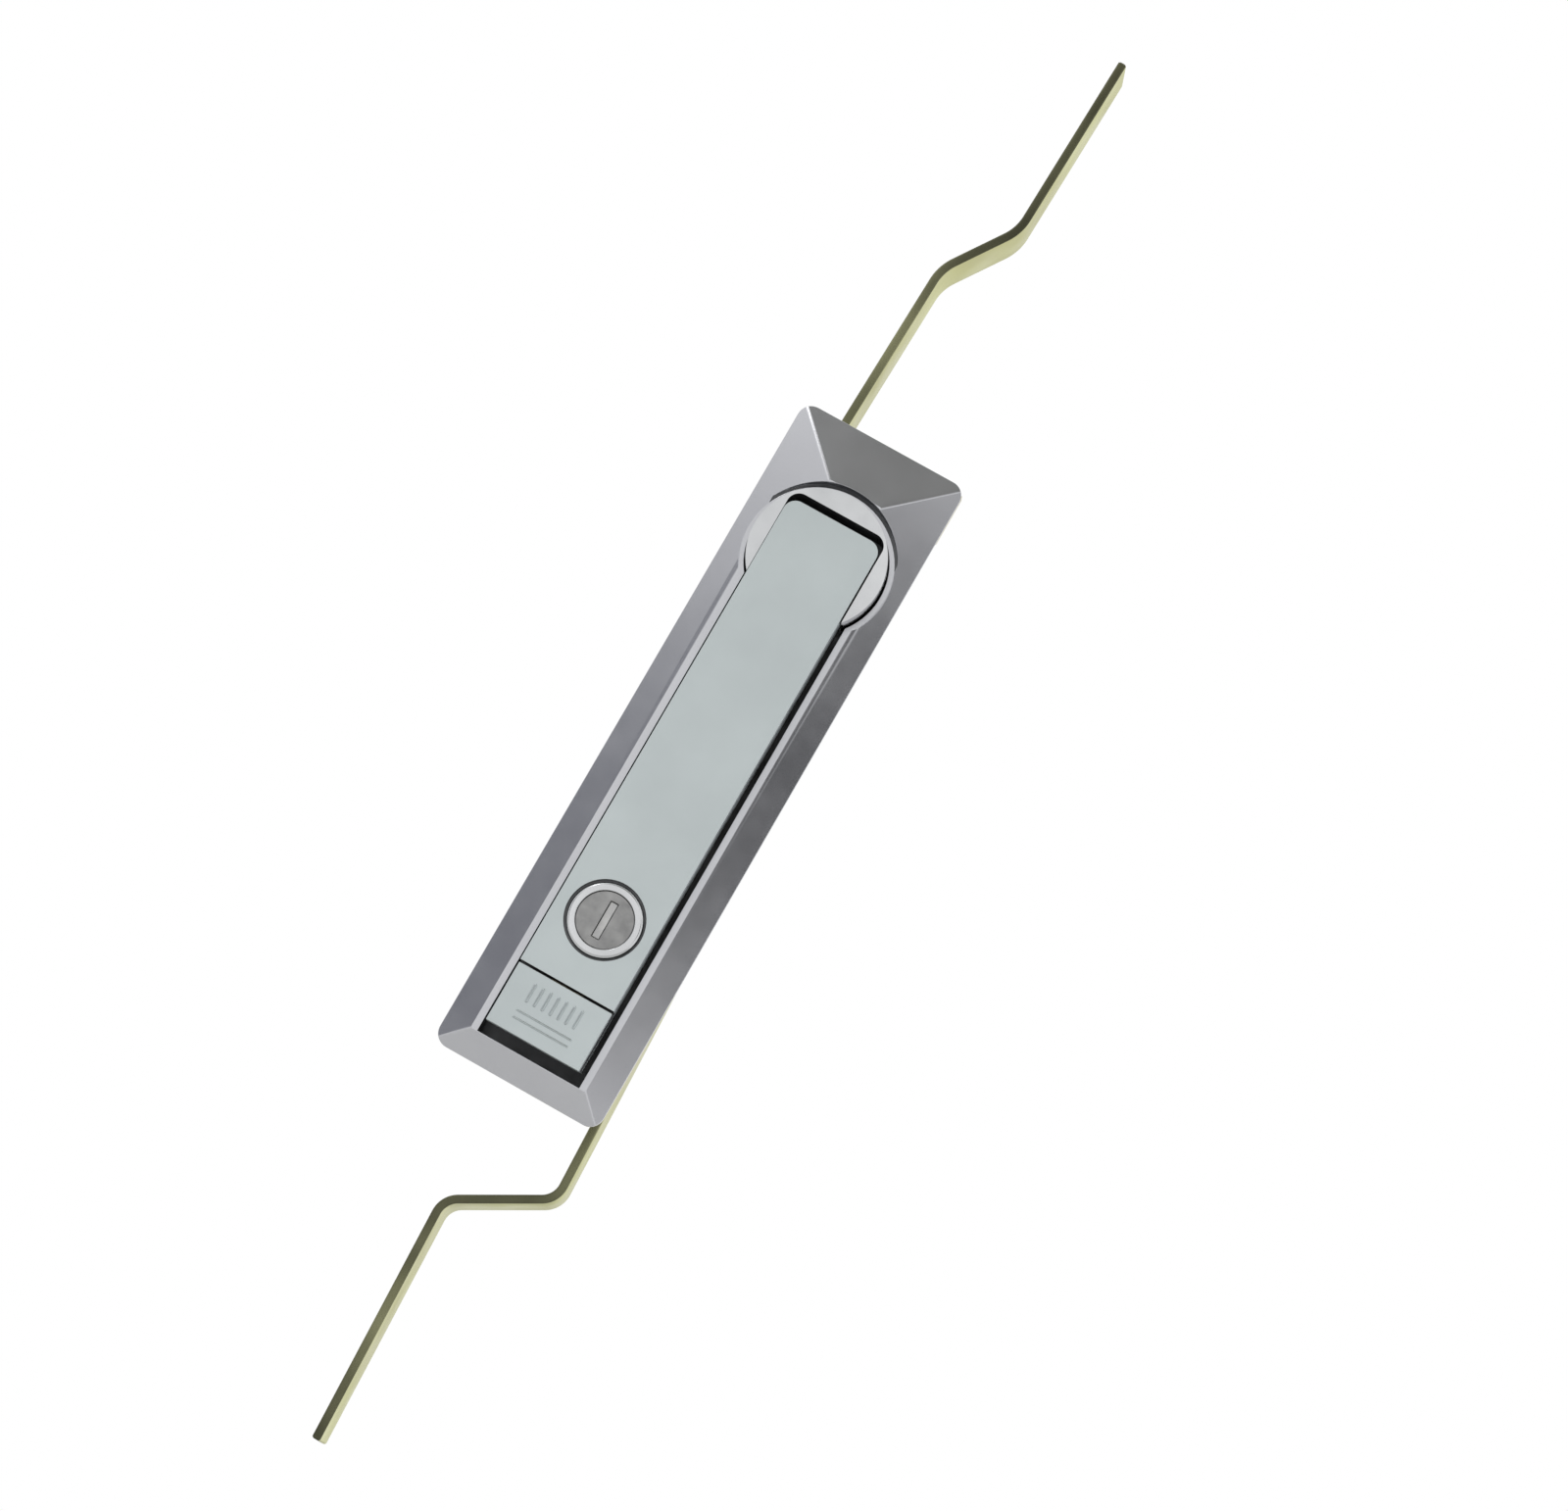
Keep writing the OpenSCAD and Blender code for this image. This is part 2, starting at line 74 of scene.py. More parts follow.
# Noise gathers round one half, so this stretch of it is spread over a whole range.
CLOUD_SPAN = (0.35, 0.65)
WEAR_SPAN = (0.3, 0.7)
WHITE = (1.0, 1.0, 1.0)
BODY_OF: dict[str, str] = {
    node: body for body, nodes in frame["record"]["behaviour"]["bodies"].items() for node in nodes
}

Colour = tuple[float, float, float]
Triple = tuple[float, float, float]
FaceTest = Callable[[np.ndarray, np.ndarray], np.ndarray]


def to_row(points: np.ndarray) -> np.ndarray:
    """Turn face-frame millimetres into row-frame metres.

    Args:
        points: Array whose last axis is (x, y, z) in the face frame, in millimetres.

    Returns:
        An array of the same shape, (x, -z, y) in metres.
    """
    return np.stack([points[..., 0], -points[..., 2], points[..., 1]], axis=-1) * MM


def to_face(points: np.ndarray) -> np.ndarray:
    """Turn row-frame metres into face-frame millimetres.

    Args:
        points: Array whose last axis is (x, y, z) in the row frame, in metres.

    Returns:
        An array of the same shape, (x, z, -y) in millimetres.
    """
    return np.stack([points[..., 0], points[..., 2], -points[..., 1]], axis=-1) / MM


class Graph:
    """A short hand for making and joining shader nodes."""

    def __init__(self, tree: bpy.types.NodeTree) -> None:
        """Empty the tree and keep it."""
        self.tree = tree
        tree.nodes.clear()

    def add(self, kind: str, sockets: dict | None = None, **settings: object) -> bpy.types.Node:
        """Make one node.

        Args:
            kind: The node's type name without its ShaderNode prefix.
            sockets: Values of inputs, by name or number; a socket as the value is joined instead.
            settings: Attributes of the node, such as its operation.

        Returns:
            The new node.
        """
        made = self.tree.nodes.new("ShaderNode" + kind)
        for key, value in settings.items():
            setattr(made, key, value)
        for key, value in (sockets or {}).items():
            if isinstance(value, bpy.types.NodeSocket):
                self.tree.links.new(value, made.inputs[key])
            else:
                made.inputs[key].default_value = value
        return made

    def blend(self, share: bpy.types.NodeSocket, start: Colour, end: Colour) -> bpy.types.NodeSocket:
        """Mix two colours.

        Args:
            share: How far the mix goes from the first colour to the second.
            start: The first colour.
            end: The second colour.

        Returns:
            The mixed colour.
        """
        mix = self.add("Mix", {"Factor": share, "A": (*start, 1.0), "B": (*end, 1.0)}, data_type="RGBA")
        return mix.outputs["Result"]


@dataclass(frozen=True)
class Finish:
    """A procedural finish on object coordinates.

    Two tones are mixed by a cloud of soft noise, roughness wanders by a second cloud, and a fine
    stretched grain lifts the surface a few microns.

    Attributes:
        name: Name of the material.
        light: Linear colour of the lighter tone.
        dark: Linear colour of the darker tone.
        rough: Lowest and highest roughness.
        metallic: How far the surface is bare metal.
        mottle: Cells of the colour cloud per metre.
        wear: Cells of the roughness cloud to one of the colour cloud.
        grain: Cells of the fine grain per metre along each axis.
        relief: Depth of the grain in metres.
    """

    name: str
    light: Colour
    dark: Colour
    rough: tuple[float, float]
    metallic: float = 1.0
    mottle: float = 70.0
    grain: Triple = (2600.0, 2600.0, 2600.0)
    relief: float = 3e-6
    wear: float = 3.1

    def material(self) -> bpy.types.Material:
        """Make the material once and hand out the same one afterwards.

        Returns:
            The finish as a Blender material.
        """
        known = bpy.data.materials.get(self.name)
        if known is not None:
            return known
        made = bpy.data.materials.new(self.name)
        made.use_nodes = True
        g = Graph(made.node_tree)
        place = g.add("TexCoord").outputs["Object"]
        cloud = g.add("TexNoise", {"Vector": place, "Scale": self.mottle, "Detail": 4.0})
        tone = g.add("MapRange", {
            "Value": cloud.outputs["Fac"], "From Min": CLOUD_SPAN[0], "From Max": CLOUD_SPAN[1],
        })
        colour = g.blend(tone.outputs["Result"], self.dark, self.light)
        wear = g.add("TexNoise", {"Vector": place, "Scale": self.mottle * self.wear, "Detail": 2.0})
        rough = g.add("MapRange", {
            "Value": wear.outputs["Fac"], "From Min": WEAR_SPAN[0], "From Max": WEAR_SPAN[1],
            "To Min": self.rough[0], "To Max": self.rough[1],
        })
        stretch = g.add("Mapping", {"Vector": place, "Scale": self.grain})
        lines = g.add("TexNoise", {"Vector": stretch.outputs["Vector"], "Scale": 1.0, "Detail": 3.0})
        lift = g.add("Bump", {"Height": lines.outputs["Fac"], "Distance": self.relief, "Strength": 1.0})
        surface = g.add("BsdfPrincipled", {
            "Base Color": colour, "Roughness": rough.outputs["Result"],
            "Metallic": self.metallic, "Normal": lift.outputs["Normal"],
        })
        g.add("OutputMaterial", {"Surface": surface.outputs["BSDF"]})
        return made


class Look(Enum):
    """The finishes of the lock, by what they are on; two of them are dark tones of painted shade."""

    SATIN = Finish("satin_chrome", (0.535, 0.585, 0.588), (0.503, 0.55, 0.554), (0.30, 0.36),
                   mottle=40.0, grain=(1500.0, 1500.0, 40.0), relief=1.5e-6)
    CAST = Finish("satin_cast", (0.57, 0.575, 0.6), (0.535, 0.54, 0.565), (0.225, 0.25), mottle=45.0,
                  grain=(420.0, 420.0, 420.0), relief=6e-7)
    # Painted shade: a dark tone on faces in pockets, gaps and slots, where shade falls.
    RECESS_SHADE = Finish("painted_shade_recess", (0.15, 0.153, 0.157), (0.1, 0.103, 0.107), (0.5, 0.65))
    BRIGHT = Finish("bright_ring", (0.66, 0.67, 0.68), (0.56, 0.57, 0.58), (0.14, 0.2))
    PLUG = Finish("turned_plug", (0.36, 0.36, 0.355), (0.25, 0.25, 0.25), (0.3, 0.42), mottle=220.0)
    SHUTTER = Finish("shutter_steel", (0.52, 0.52, 0.51), (0.4, 0.4, 0.4), (0.28, 0.4), mottle=260.0)
    BAR = Finish("olive_bar", (0.58, 0.585, 0.25), (0.44, 0.43, 0.18), (0.3, 0.42), mottle=28.0,
                 grain=(2600.0, 2600.0, 50.0))
    # Painted shade: a much darker copy of the olive bar's tone, for the bar's narrow edges and ends.
    EDGE_SHADE = Finish("painted_shade_edge", (0.30, 0.30, 0.17), (0.065, 0.065, 0.042), (0.38, 0.5), mottle=16.0,
                     grain=(900.0, 3000.0, 3000.0), relief=6e-6)
    PLATE = Finish("yellow_plate", (0.58, 0.50, 0.24), (0.46, 0.41, 0.25), (0.28, 0.4), mottle=90.0)
    STEEL = Finish("plain_steel", (0.47, 0.48, 0.49), (0.38, 0.39, 0.4), (0.26, 0.36), mottle=150.0)
    BRASS = Finish("bush_brass", (0.55, 0.42, 0.18), (0.46, 0.34, 0.15), (0.26, 0.36), mottle=150.0)
    RUBBER = Finish("gasket_rubber", (0.035, 0.035, 0.036), (0.022, 0.022, 0.023), (0.6, 0.8), 0.0,
                    mottle=400.0, relief=1e-5)
    FLOOR = Finish("pale_floor", (0.84, 0.84, 0.83), (0.8, 0.8, 0.79), (0.7, 0.85), 0.0, mottle=3.0)


def whole_turn(steps: int, start: float = 0.0) -> np.ndarray:
    """Spread angles evenly round a full turn.

    Args:
        steps: Number of angles.
        start: Where the first one lies, as a share of one step.

    Returns:
        The angles in radians.
    """
    return (np.arange(steps) + start) * 2.0 * math.pi / steps


def grid_faces(rows: int, columns: int) -> np.ndarray:
    """Index the quads of a grid whose columns close on themselves.

    Args:
        rows: Rings of vertices along the first direction.
        columns: Vertices in each ring.

    Returns:
        An array of quads, (rows - 1) * columns by 4, ring by ring.
    """
    ring, place = np.meshgrid(np.arange(rows - 1), np.arange(columns), indexing="ij")
    after = (place + 1) % columns
    quads = [ring * columns + place, ring * columns + after, (ring + 1) * columns + after,
             (ring + 1) * columns + place]
    return np.stack(quads, axis=-1).reshape(-1, 4)


def tube_faces(rows: int, columns: int, first: int = 0) -> list[list[int]]:
    """Index the quads of a tube of rings, and a face across each end.

    Args:
        rows: Rings along the tube.
        columns: Vertices in each ring.
        first: Number of the tube's first vertex.

    Returns:
        The quads, then the first end and the last end.
    """
    ring = np.arange(columns)
    ends = [first + ring[::-1], first + (rows - 1) * columns + ring]
    return (first + grid_faces(rows, columns)).tolist() + [end.tolist() for end in ends]


def linked(name: str, data: bpy.types.ID) -> bpy.types.Object:
    """Make an object of a mesh, a camera or a lamp, and link it to the scene.

    Args:
        name: Name of the object.
        data: What it shows.

    Returns:
        The object.
    """
    made = bpy.data.objects.new(name, data)
    bpy.context.scene.collection.objects.link(made)
    return made


def stand_for(made: bpy.types.Object, node: str) -> None:
    """Let a piece stand for a CAD node, on the node's body, with the node hidden.

    Args:
        made: The piece.
        node: Name of the node.
    """
    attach(made, BODY_OF[node])
    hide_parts(node)


def mesh_piece(name: str, points: np.ndarray, faces: list, looks: list[Look],
               face_looks: np.ndarray | None = None) -> bpy.types.Object:
    """Make an object from arrays of points and faces.

    Args:
        name: Name of the object.
        points: Vertices in row-frame metres, n by 3.
        faces: Lists of vertex numbers.
        looks: The piece's finishes, in slot order.
        face_looks: Slot of each face, or nothing for the first slot everywhere.

    Returns:
        The object, linked to the scene and shaded smooth with sharp corners kept.
    """
    mesh = bpy.data.meshes.new(name)
    mesh.from_pydata(points.reshape(-1, 3).tolist(), [], faces)
    made = linked(name, mesh)
    for look in looks:
        mesh.materials.append(look.value.material())
    if face_looks is not None:
        mesh.polygons.foreach_set("material_index", face_looks.astype(np.int32))
    mesh.polygons.foreach_set("use_smooth", np.ones(len(mesh.polygons), dtype=bool))
    mesh.set_sharp_from_angle(angle=math.radians(SMOOTH_ANGLE))
    mesh.update()
    return made


def sweep(path: np.ndarray, side: np.ndarray, rise: np.ndarray, outline: np.ndarray,
          inset: np.ndarray) -> np.ndarray:
    """Carry an outline along a path: P(s, t) = path(s) + u(t) * side(s) + v(t) * rise(s).

    Args:
        path: Centre line, n by 3.
        side: Unit vector of the outline's u at each path point, n by 3.
        rise: Unit vector of the outline's v at each path point, n by 3.
        outline: Closed outline, k by 2.
        inset: How far the outline draws in at each path point, n long.

    Returns:
        The swept points, n by k by 3.
    """
    half = np.abs(outline).max(axis=0)
    shrink = 1.0 - inset[:, None] / half[None, :]
    u = outline[None, :, 0] * shrink[:, None, 0]
    v = outline[None, :, 1] * shrink[:, None, 1]
    return path[:, None, :] + u[..., None] * side[:, None, :] + v[..., None] * rise[:, None, :]


def rounded_outline(width: float, height: float, radius: float, steps: int = 4) -> np.ndarray:
    """Outline of a rectangle with round corners: each corner is a quarter circle about its own centre.

    Args:
        width: Full size along u.
        height: Full size along v.
        radius: Radius of the corners.
        steps: Points on each corner, less one.

    Returns:
        The outline, 4 * (steps + 1) by 2, counter-clockwise.
    """
    turn = np.linspace(0.0, math.pi / 2.0, steps + 1)
    start = np.arange(4)[:, None] * math.pi / 2.0
    angle = (start + turn[None, :]).ravel()
    sign_u = np.repeat([1.0, -1.0, -1.0, 1.0], steps + 1)
    sign_v = np.repeat([1.0, 1.0, -1.0, -1.0], steps + 1)
    u = sign_u * (width / 2.0 - radius) + radius * np.cos(angle)
    v = sign_v * (height / 2.0 - radius) + radius * np.sin(angle)
    return np.stack([u, v], axis=-1)


def bend(before: np.ndarray, corner: np.ndarray, after: np.ndarray, radius: float,
         steps: int = 12) -> np.ndarray:
    """Points of a round bend that touches both legs of a corner.

    The arc's centre lies on the corner's bisector, at radius / cos(half the turn) from the corner.

    Args:
        before: A point on the leg that comes in.
        corner: The corner itself.
        after: A point on the leg that goes out.
        radius: Radius of the bend's centre line.
        steps: Pieces of the arc.

    Returns:
        The arc's points in order, (steps + 1) by 2.
    """
    inward = (corner - before) / np.linalg.norm(corner - before)
    onward = (after - corner) / np.linalg.norm(after - corner)
    turn = math.atan2(inward[0] * onward[1] - inward[1] * onward[0], float(inward @ onward))
    reach = radius * math.tan(abs(turn) / 2.0)
    hand = math.copysign(1.0, turn)
    normal = hand * np.array([-inward[1], inward[0]])
    centre = corner - inward * reach + normal * radius
    angle = hand * np.linspace(0.0, abs(turn), steps + 1)
    spoke = -normal * radius
    x = centre[0] + spoke[0] * np.cos(angle) - spoke[1] * np.sin(angle)
    y = centre[1] + spoke[0] * np.sin(angle) + spoke[1] * np.cos(angle)
    return np.stack([x, y], axis=-1)


@dataclass
class SoftPiece:
    """A CAD solid shown with its hard edges broken.

    Attributes:
        node: Name of the CAD node that it stands for.
        look: Its finish.
        edge: Width of the broken edge in millimetres.
        segments: Steps across the broken edge.
        inner: Dark tone for the faces that the test picks, painted shade where shade falls in pockets,
            gaps and slots.
        picks: Test on face centres and normals, in the face frame, that picks the faces for the painted
            shade.
        mitre: Width in millimetres that slanting mitres between two slopes are rounded over.
        mitre_steps: Steps across a rounded mitre.
        mitre_run: Least length of a mitre across and up the lock, in millimetres.
        mitre_turn: Least and greatest angle in degrees between the slopes of a mitre.
        crease: Least angle in degrees between two faces that are shaded apart.
    """

    node: str
    look: Look
    edge: float = 0.25
    segments: int = 2
    # Painted shade: the picked faces get a dark tone.
    inner: Look = Look.RECESS_SHADE
    picks: FaceTest | None = None
    mitre: float = 0.0
    mitre_steps: int = 5
    mitre_run: float = 3.0
    mitre_turn: tuple[float, float] = (10.0, 45.0)
    crease: float = EDGE_ANGLE

    def build(self) -> bpy.types.Object:
        """Copy the node's mesh, merge it, clear flat seams and break its edges.

        Returns:
            The dressed piece, riding with the node's body.
        """
        mesh = frame["nodes"][self.node].data.copy()
        work = bmesh.new()
        work.from_mesh(mesh)
        bmesh.ops.remove_doubles(work, verts=work.verts, dist=MERGE)
        bmesh.ops.dissolve_limit(work, angle_limit=math.radians(FLAT_ANGLE), verts=work.verts,
                                 edges=work.edges)
        self.weigh_mitres(work)
        work.to_mesh(mesh)
        work.free()
        mesh.name = "soft_" + self.node
        made = linked(mesh.name, mesh)
        self.dress(made)
        if self.mitre > 0.0:
            soft = made.modifiers.new("mitres", "BEVEL")
            soft.width = self.mitre * MM
            soft.segments = self.mitre_steps
            soft.limit_method = "WEIGHT"
            soft.use_clamp_overlap = True
        bevel = made.modifiers.new("edges", "BEVEL")
        bevel.width = self.edge * MM
        bevel.segments = self.segments
        bevel.limit_method = "ANGLE"
        bevel.angle_limit = math.radians(EDGE_ANGLE)
        bevel.use_clamp_overlap = True
        bevel.harden_normals = True
        stand_for(made, self.node)
        LOG.info("%s: %d faces", made.name, len(mesh.polygons))
        return made

    def weigh_mitres(self, work: bmesh.types.BMesh) -> None:
        """Weigh the edges that run aslant between two slopes, for the mitre rounding.

        Args:
            work: The merged mesh.
        """
        if self.mitre <= 0.0:
            return
        weight = work.edges.layers.float.new("bevel_weight_edge")
        least, most = (math.radians(turn) for turn in self.mitre_turn)
        for edge in work.edges:
            run = edge.verts[1].co - edge.verts[0].co
            aslant = min(abs(run.x), abs(run.z)) > self.mitre_run * MM
            if aslant and least < edge.calc_face_angle(0.0) < most:
                edge[weight] = 1.0

    def dress(self, made: bpy.types.Object) -> None:
        """Give the faces their finishes and smooth shading.

        Args:
            made: The piece.
        """
        mesh = made.data
        mesh.materials.clear()
        mesh.materials.append(self.look.value.material())
        count = len(mesh.polygons)
        slots = np.zeros(count, dtype=np.int32)
        # The faces that the test picks are painted dark, as painted shade.
        if self.picks is not None:
            mesh.materials.append(self.inner.value.material())
            centres = np.empty(count * 3)
            normals = np.empty(count * 3)
            mesh.polygons.foreach_get("center", centres)
            mesh.polygons.foreach_get("normal", normals)
            chosen = self.picks(to_face(centres.reshape(-1, 3)), to_face(normals.reshape(-1, 3)) * MM)
            slots[chosen] = 1
        mesh.polygons.foreach_set("material_index", slots)
        mesh.polygons.foreach_set("use_smooth", np.ones(count, dtype=bool))
        mesh.set_sharp_from_angle(angle=math.radians(self.crease))
        mesh.update()


@dataclass
class TurnedScrews:
    """Socket screws of one kind, heads to the back, with knurled heads and a cut thread.

    Attributes:
        node: CAD node that they stand for.
        spots: Place of each axis, and the height of each tip.
        seat: Height of the heads' seat.
        head_r: Radius of the heads.
        head_h: Height of the heads.
        shank_r: Outer radius of the thread.
        hex_r: Radius of the hexagon socket to its corners.
        hex_depth: Depth of the socket.
        pitch: Pitch of the thread.
        thread: Depth of the thread.
        rows: Rings to one turn of the thread.
        knurl: Depth of the knurling.
        knurls: Number of knurls.
        soft: Radius of the heads' back edge.
        under: Width of the broken edge at the seat.
        flare: How far the socket widens at its mouth, as a factor.
    """

    node: str
    spots: tuple[Triple, ...]
    seat: float
    head_r: float
    head_h: float
    shank_r: float
    hex_r: float = 2.0
    hex_depth: float = 2.0
    pitch: float = 0.8
    thread: float = 0.45
    rows: int = 8
    knurl: float = 0.14
    knurls: int = 24
    soft: float = 0.4
    under: float = 0.12
    flare: float = 1.06

    def lathe(self, tip: float) -> np.ndarray:
        """Turn one screw about its axis: P(s, t) = (r(s, t) cos t, r(s, t) sin t, z(s)).

        The radius is a hexagon's, hex_r cos(30) / cos(t within a sixth), in the socket. On the head's
        side it dips by a cosine of t for the knurls, and on the shank by a triangle wave of
        z / pitch - t / (2 pi), which is a helix.

        Args:
            tip: Height of the shank's end.

        Returns:
            Rings of points from the socket's floor to the tip, in face-frame millimetres.
        """
        turn = whole_turn(self.knurls * 4)
        sixth = math.pi / 3.0
        hexagon = self.hex_r * math.cos(sixth / 2.0) / np.cos((turn + sixth / 2.0) % sixth - sixth / 2.0)
        back = self.seat - self.head_h
        round_edge = np.linspace(0.0, math.pi / 2.0, 5)
        dip = self.knurl * (0.5 + 0.5 * np.cos(self.knurls * turn))
        even = np.ones_like(turn)
        edge_r = self.head_r - self.soft + self.soft * np.sin(round_edge)
        edge_z = back + self.soft * (1.0 - np.cos(round_edge))
        floor = back + self.hex_depth
        floor_share, mouth_depth = 0.2, 0.1
        socket = np.stack([floor_share * hexagon, hexagon, hexagon, hexagon * self.flare])
        side = np.stack([self.head_r - dip, self.head_r - dip])
        rows = max(2, round((tip - self.seat) / self.pitch * self.rows))
        cut_z = np.linspace(self.seat, tip - self.thread, rows)
        wave = np.abs(2.0 * ((cut_z[:, None] / self.pitch - turn[None, :] / (2.0 * math.pi)) % 1.0) - 1.0)
        starts = np.clip((cut_z - self.seat) / self.pitch, 0.0, 1.0)[:, None]
        # The wave is steepened, so that the thread's crest and root are narrow flats.
        steep, crest = 1.25, 0.12
        cut = self.shank_r - self.thread * starts * np.clip(steep * wave - crest, 0.0, 1.0)
        radius = np.concatenate([
            socket, edge_r[:, None] * even, side, [(self.head_r - self.under) * even],
            cut, [(self.shank_r - self.thread) * even],
        ])
        knurled = [back + 1.4 * self.soft, self.seat - 2.0 * self.under]
        height = np.concatenate([
            [floor, floor, back + mouth_depth, back], edge_z, knurled, [self.seat], cut_z, [tip],
        ])
        tall = np.broadcast_to(height[:, None], radius.shape)
        return np.stack([radius * np.cos(turn), radius * np.sin(turn), tall], axis=-1)

    def build(self) -> bpy.types.Object:
        """Join the screws of this kind in one piece and close their ends.

        Returns:
            The screws, riding with the node's body.
        """
        points: list[np.ndarray] = []
        faces: list[list[int]] = []
        for x, y, tip in self.spots:
            rings = self.lathe(tip)
            rows, columns = rings.shape[:2]
            faces += tube_faces(rows, columns, sum(len(done) for done in points))
            points.append((rings + np.array((x, y, 0.0))).reshape(-1, 3))
        made = mesh_piece("turned_" + self.node, to_row(np.concatenate(points)), faces, [Look.STEEL])
        stand_for(made, self.node)
        LOG.info("%s: %d screws", made.name, len(self.spots))
        return made


@dataclass
class BezelGroup:
    """The bezel, its gasket and what clamps it to the panel.

    Attributes:
        slot_half: Half the width of the handle's slot.
        slot_end: Lower end of the slot below the axis.
        pocket_r: Radius of the turntable's pocket.
        floor_z: Floor of the tray.
        rim_z: Height of the rim.
        edge: Width of the bezel's broken edges.
        mitre: Width of its rounded mitres.
        crease: Least angle in degrees between its slopes that are shaded apart.
        screws: The two clamp screws.
    """

    slot_half: float = 13.0
    slot_end: float = 129.5
    pocket_r: float = 16.4
    floor_z: float = -3.0
    rim_z: float = 4.0
    edge: float = 0.3
    mitre: float = 1.4
    crease: float = 12.0
    screws: TurnedScrews = field(default_factory=lambda: TurnedScrews(
        "clamp_screws", ((0.0, 25.0, 1.9), (0.0, -119.0, 0.1)),
        seat=-6.2, head_r=4.25, head_h=3.5, shank_r=2.45))

    def in_pocket(self, centres: np.ndarray, normals: np.ndarray) -> np.ndarray:
        """Pick the faces inside the handle's pocket, which are painted dark as painted shade.

        Args:
            centres: Face centres, n by 3.
            normals: Face normals, n by 3; not used.

        Returns:
            True for each face in the pocket.
        """
        x, y, z = centres.T
        straight = (np.abs(x) < self.slot_half + SLACK) & (y < 0.0) & (y > -self.slot_end - SLACK)
        round_end = np.hypot(x, y) < self.pocket_r + SLACK
        low = (z < self.rim_z - SLACK) & (z > self.floor_z - SLACK)
        return (straight | round_end) & low

    def build(self) -> None:
        """Build the group's pieces."""
        SoftPiece("bezel", Look.CAST, edge=self.edge, segments=3, picks=self.in_pocket,
                  mitre=self.mitre, crease=self.crease).build()
        SoftPiece("gasket", Look.RUBBER, edge=0.2).build()
        SoftPiece("clamp_bridges", Look.PLATE, edge=0.35).build()
        self.screws.build()
        SoftPiece("spindle_bush", Look.BRASS, edge=0.15).build()
        SoftPiece("thrust_washer", Look.STEEL, edge=0.12).build()


